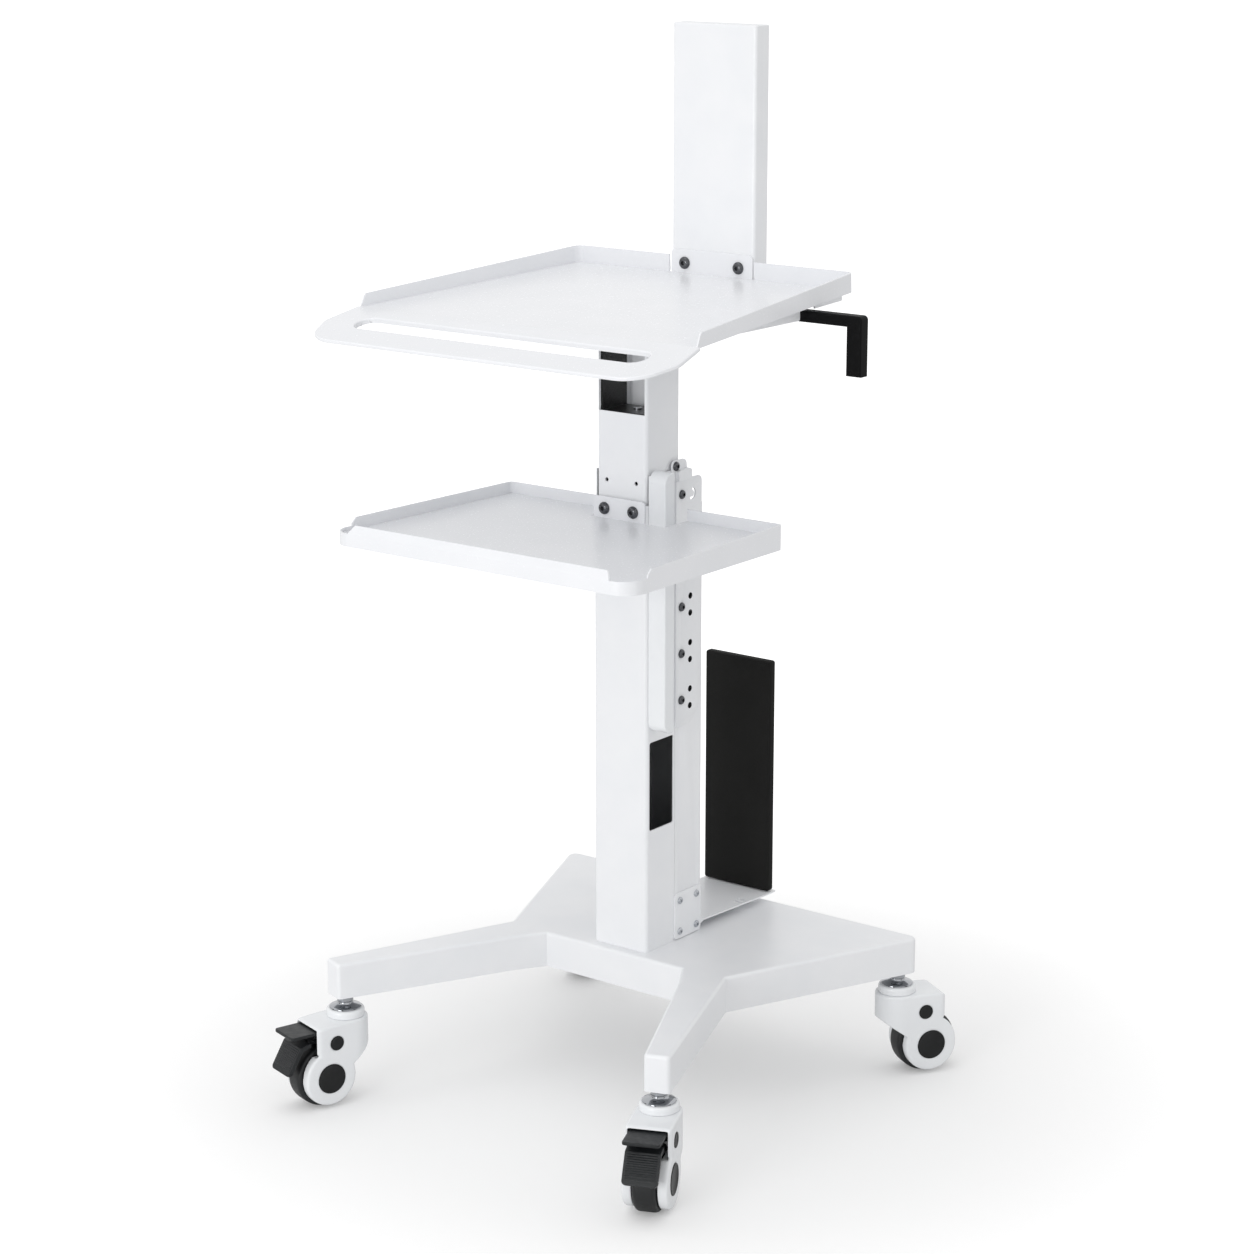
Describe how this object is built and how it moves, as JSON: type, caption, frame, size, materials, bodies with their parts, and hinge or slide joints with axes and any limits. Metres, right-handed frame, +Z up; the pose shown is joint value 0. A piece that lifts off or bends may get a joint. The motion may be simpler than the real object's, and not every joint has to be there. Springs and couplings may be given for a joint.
{
  "type": "equipment trolley",
  "caption": "Wheeled stand with a height-adjustable mast, a tilted upper tray with a pull handle, a lower tray, a rear post, and a shelf with a pad for a host unit.",
  "frame": {"origin": "on the floor, under the middle of the column's plan section", "axes": "+Z up; +Y to the rear, towards the post and the host pad; +X to the right as seen by a person who stands in front, at the handle, and looks at the stand along +Y"},
  "size_m": [0.5929, 0.6221, 1.235],
  "materials": {
    "white_coat": "smooth semi-gloss powder coat",
    "black_coat": "satin black powder coat",
    "white_plastic": "glossy white moulding",
    "grey_plastic": "satin grey moulding",
    "grey_pedal": "satin grey moulding",
    "black_plastic": "satin black moulding",
    "black_pad": "matt black elastomer",
    "grey_sheet": "plain grey sheet",
    "raw_steel": "milled steel",
    "zinc_steel": "bright zinc plating",
    "dark_bolt": "dark nickel plating",
    "polished_rod": "polished rod",
    "chromed_steel": "chrome plating",
    "tyre": "matt dark grey tread"
  },
  "bodies": {
    "base": {"base_frame": "white_coat", "base_bottom_plate": "grey_sheet", "column_foot_plate": "raw_steel", "column_foot_bolts": "zinc_steel", "column_front": "white_coat", "column_rear": "white_coat", "guide_collar": "grey_plastic", "gas_spring_cylinder": "black_coat", "side_plate_left": "white_coat", "side_plate_right": "white_coat", "side_plate_screws": "dark_bolt", "cable_cover": "white_plastic", "clamp_block": "white_coat", "lower_tray": "white_coat", "lower_tray_bolts": "dark_bolt", "host_bracket": "white_coat", "host_bracket_screws": "zinc_steel", "host_pad": "black_pad", "front_left_stem": "chromed_steel", "front_right_stem": "chromed_steel", "rear_left_stem": "chromed_steel", "rear_right_stem": "chromed_steel"},
    "mast": {"inner_column": "white_coat", "slide_shoe": "grey_plastic", "gas_spring_rod": "polished_rod", "release_bracket": "black_coat", "upper_tray": "white_coat", "tray_support": "white_coat", "lever_pivot": "zinc_steel", "rear_post": "white_coat", "post_bolts": "dark_bolt"},
    "lever": {"release_lever": "black_plastic"},
    "front_left_fork": {"front_left_swivel_ring": "white_plastic", "front_left_housing": "white_plastic", "front_left_axle": "zinc_steel", "front_left_caps": "black_plastic"},
    "front_left_wheel": {"front_left_tyre": "tyre", "front_left_wheel_core": "grey_plastic"},
    "front_left_lock": {"front_left_lock_pedal": "black_plastic"},
    "front_left_release": {"front_left_release_pedal": "grey_pedal"},
    "front_right_fork": {"front_right_swivel_ring": "white_plastic", "front_right_housing": "white_plastic", "front_right_axle": "zinc_steel", "front_right_caps": "black_plastic"},
    "front_right_wheel": {"front_right_tyre": "tyre", "front_right_wheel_core": "grey_plastic"},
    "front_right_lock": {"front_right_lock_pedal": "black_plastic"},
    "front_right_release": {"front_right_release_pedal": "grey_pedal"},
    "rear_left_fork": {"rear_left_swivel_ring": "white_plastic", "rear_left_housing": "white_plastic", "rear_left_axle": "zinc_steel", "rear_left_caps": "black_plastic"},
    "rear_left_wheel": {"rear_left_tyre": "tyre", "rear_left_wheel_core": "grey_plastic"},
    "rear_right_fork": {"rear_right_swivel_ring": "white_plastic", "rear_right_housing": "white_plastic", "rear_right_axle": "zinc_steel", "rear_right_caps": "black_plastic"},
    "rear_right_wheel": {"rear_right_tyre": "tyre", "rear_right_wheel_core": "grey_plastic"}
  },
  "joints": [
    {"name": "mast_slide", "type": "slide", "parent": "base", "child": "mast", "axis": [0, 0, 1], "range_m": [-0.13, 0.12]},
    {"name": "lever_press", "type": "hinge", "parent": "mast", "child": "lever", "pos_m": [0.15, 0.0395, 0.928], "axis": [0, -1, 0], "range_deg": [0, 3], "stiffness_Nm_per_rad": 4, "springref_deg": -1.72},
    {"name": "front_left_swivel", "type": "hinge", "parent": "base", "child": "front_left_fork", "pos_m": [-0.23, -0.285, 0.11], "axis": [0, 0, 1], "continuous": true},
    {"name": "front_left_roll", "type": "hinge", "parent": "front_left_fork", "child": "front_left_wheel", "pos_m": [-0.24023, -0.31847, 0.0375], "axis": [0.9563, -0.2924, 0], "continuous": true},
    {"name": "front_left_lock_press", "type": "hinge", "parent": "front_left_fork", "child": "front_left_lock", "pos_m": [-0.23789, -0.31082, 0.08], "axis": [0.9563, -0.2924, 0], "range_deg": [0, 8]},
    {"name": "front_left_release_press", "type": "hinge", "parent": "front_left_fork", "child": "front_left_release", "pos_m": [-0.24345, -0.32899, 0.0936], "axis": [0.9563, -0.2924, 0], "range_deg": [-4.8, 0]},
    {"name": "front_right_swivel", "type": "hinge", "parent": "base", "child": "front_right_fork", "pos_m": [0.23, -0.285, 0.11], "axis": [0, 0, 1], "continuous": true},
    {"name": "front_right_roll", "type": "hinge", "parent": "front_right_fork", "child": "front_right_wheel", "pos_m": [0.24368, -0.31722, 0.0375], "axis": [0.9205, 0.3907, 0], "continuous": true},
    {"name": "front_right_lock_press", "type": "hinge", "parent": "front_right_fork", "child": "front_right_lock", "pos_m": [0.24055, -0.30985, 0.08], "axis": [0.9205, 0.3907, 0], "range_deg": [0, 8]},
    {"name": "front_right_release_press", "type": "hinge", "parent": "front_right_fork", "child": "front_right_release", "pos_m": [0.24797, -0.32734, 0.0936], "axis": [0.9205, 0.3907, 0], "range_deg": [-4.8, 0]},
    {"name": "rear_left_swivel", "type": "hinge", "parent": "base", "child": "rear_left_fork", "pos_m": [-0.243, 0.173, 0.11], "axis": [0, 0, 1], "continuous": true},
    {"name": "rear_left_roll", "type": "hinge", "parent": "rear_left_fork", "child": "rear_left_wheel", "pos_m": [-0.25611, 0.20545, 0.0375], "axis": [-0.9272, -0.3746, 0], "continuous": true},
    {"name": "rear_right_swivel", "type": "hinge", "parent": "base", "child": "rear_right_fork", "pos_m": [0.243, 0.173, 0.11], "axis": [0, 0, 1], "continuous": true},
    {"name": "rear_right_roll", "type": "hinge", "parent": "rear_right_fork", "child": "rear_right_wheel", "pos_m": [0.26155, 0.20268, 0.0375], "axis": [-0.848, 0.5299, 0], "continuous": true}
  ],
  "couplings": [
    {"joint": "front_left_release_press", "follows": "front_left_lock_press", "ratio": -0.6},
    {"joint": "front_right_release_press", "follows": "front_right_lock_press", "ratio": -0.6}
  ]
}
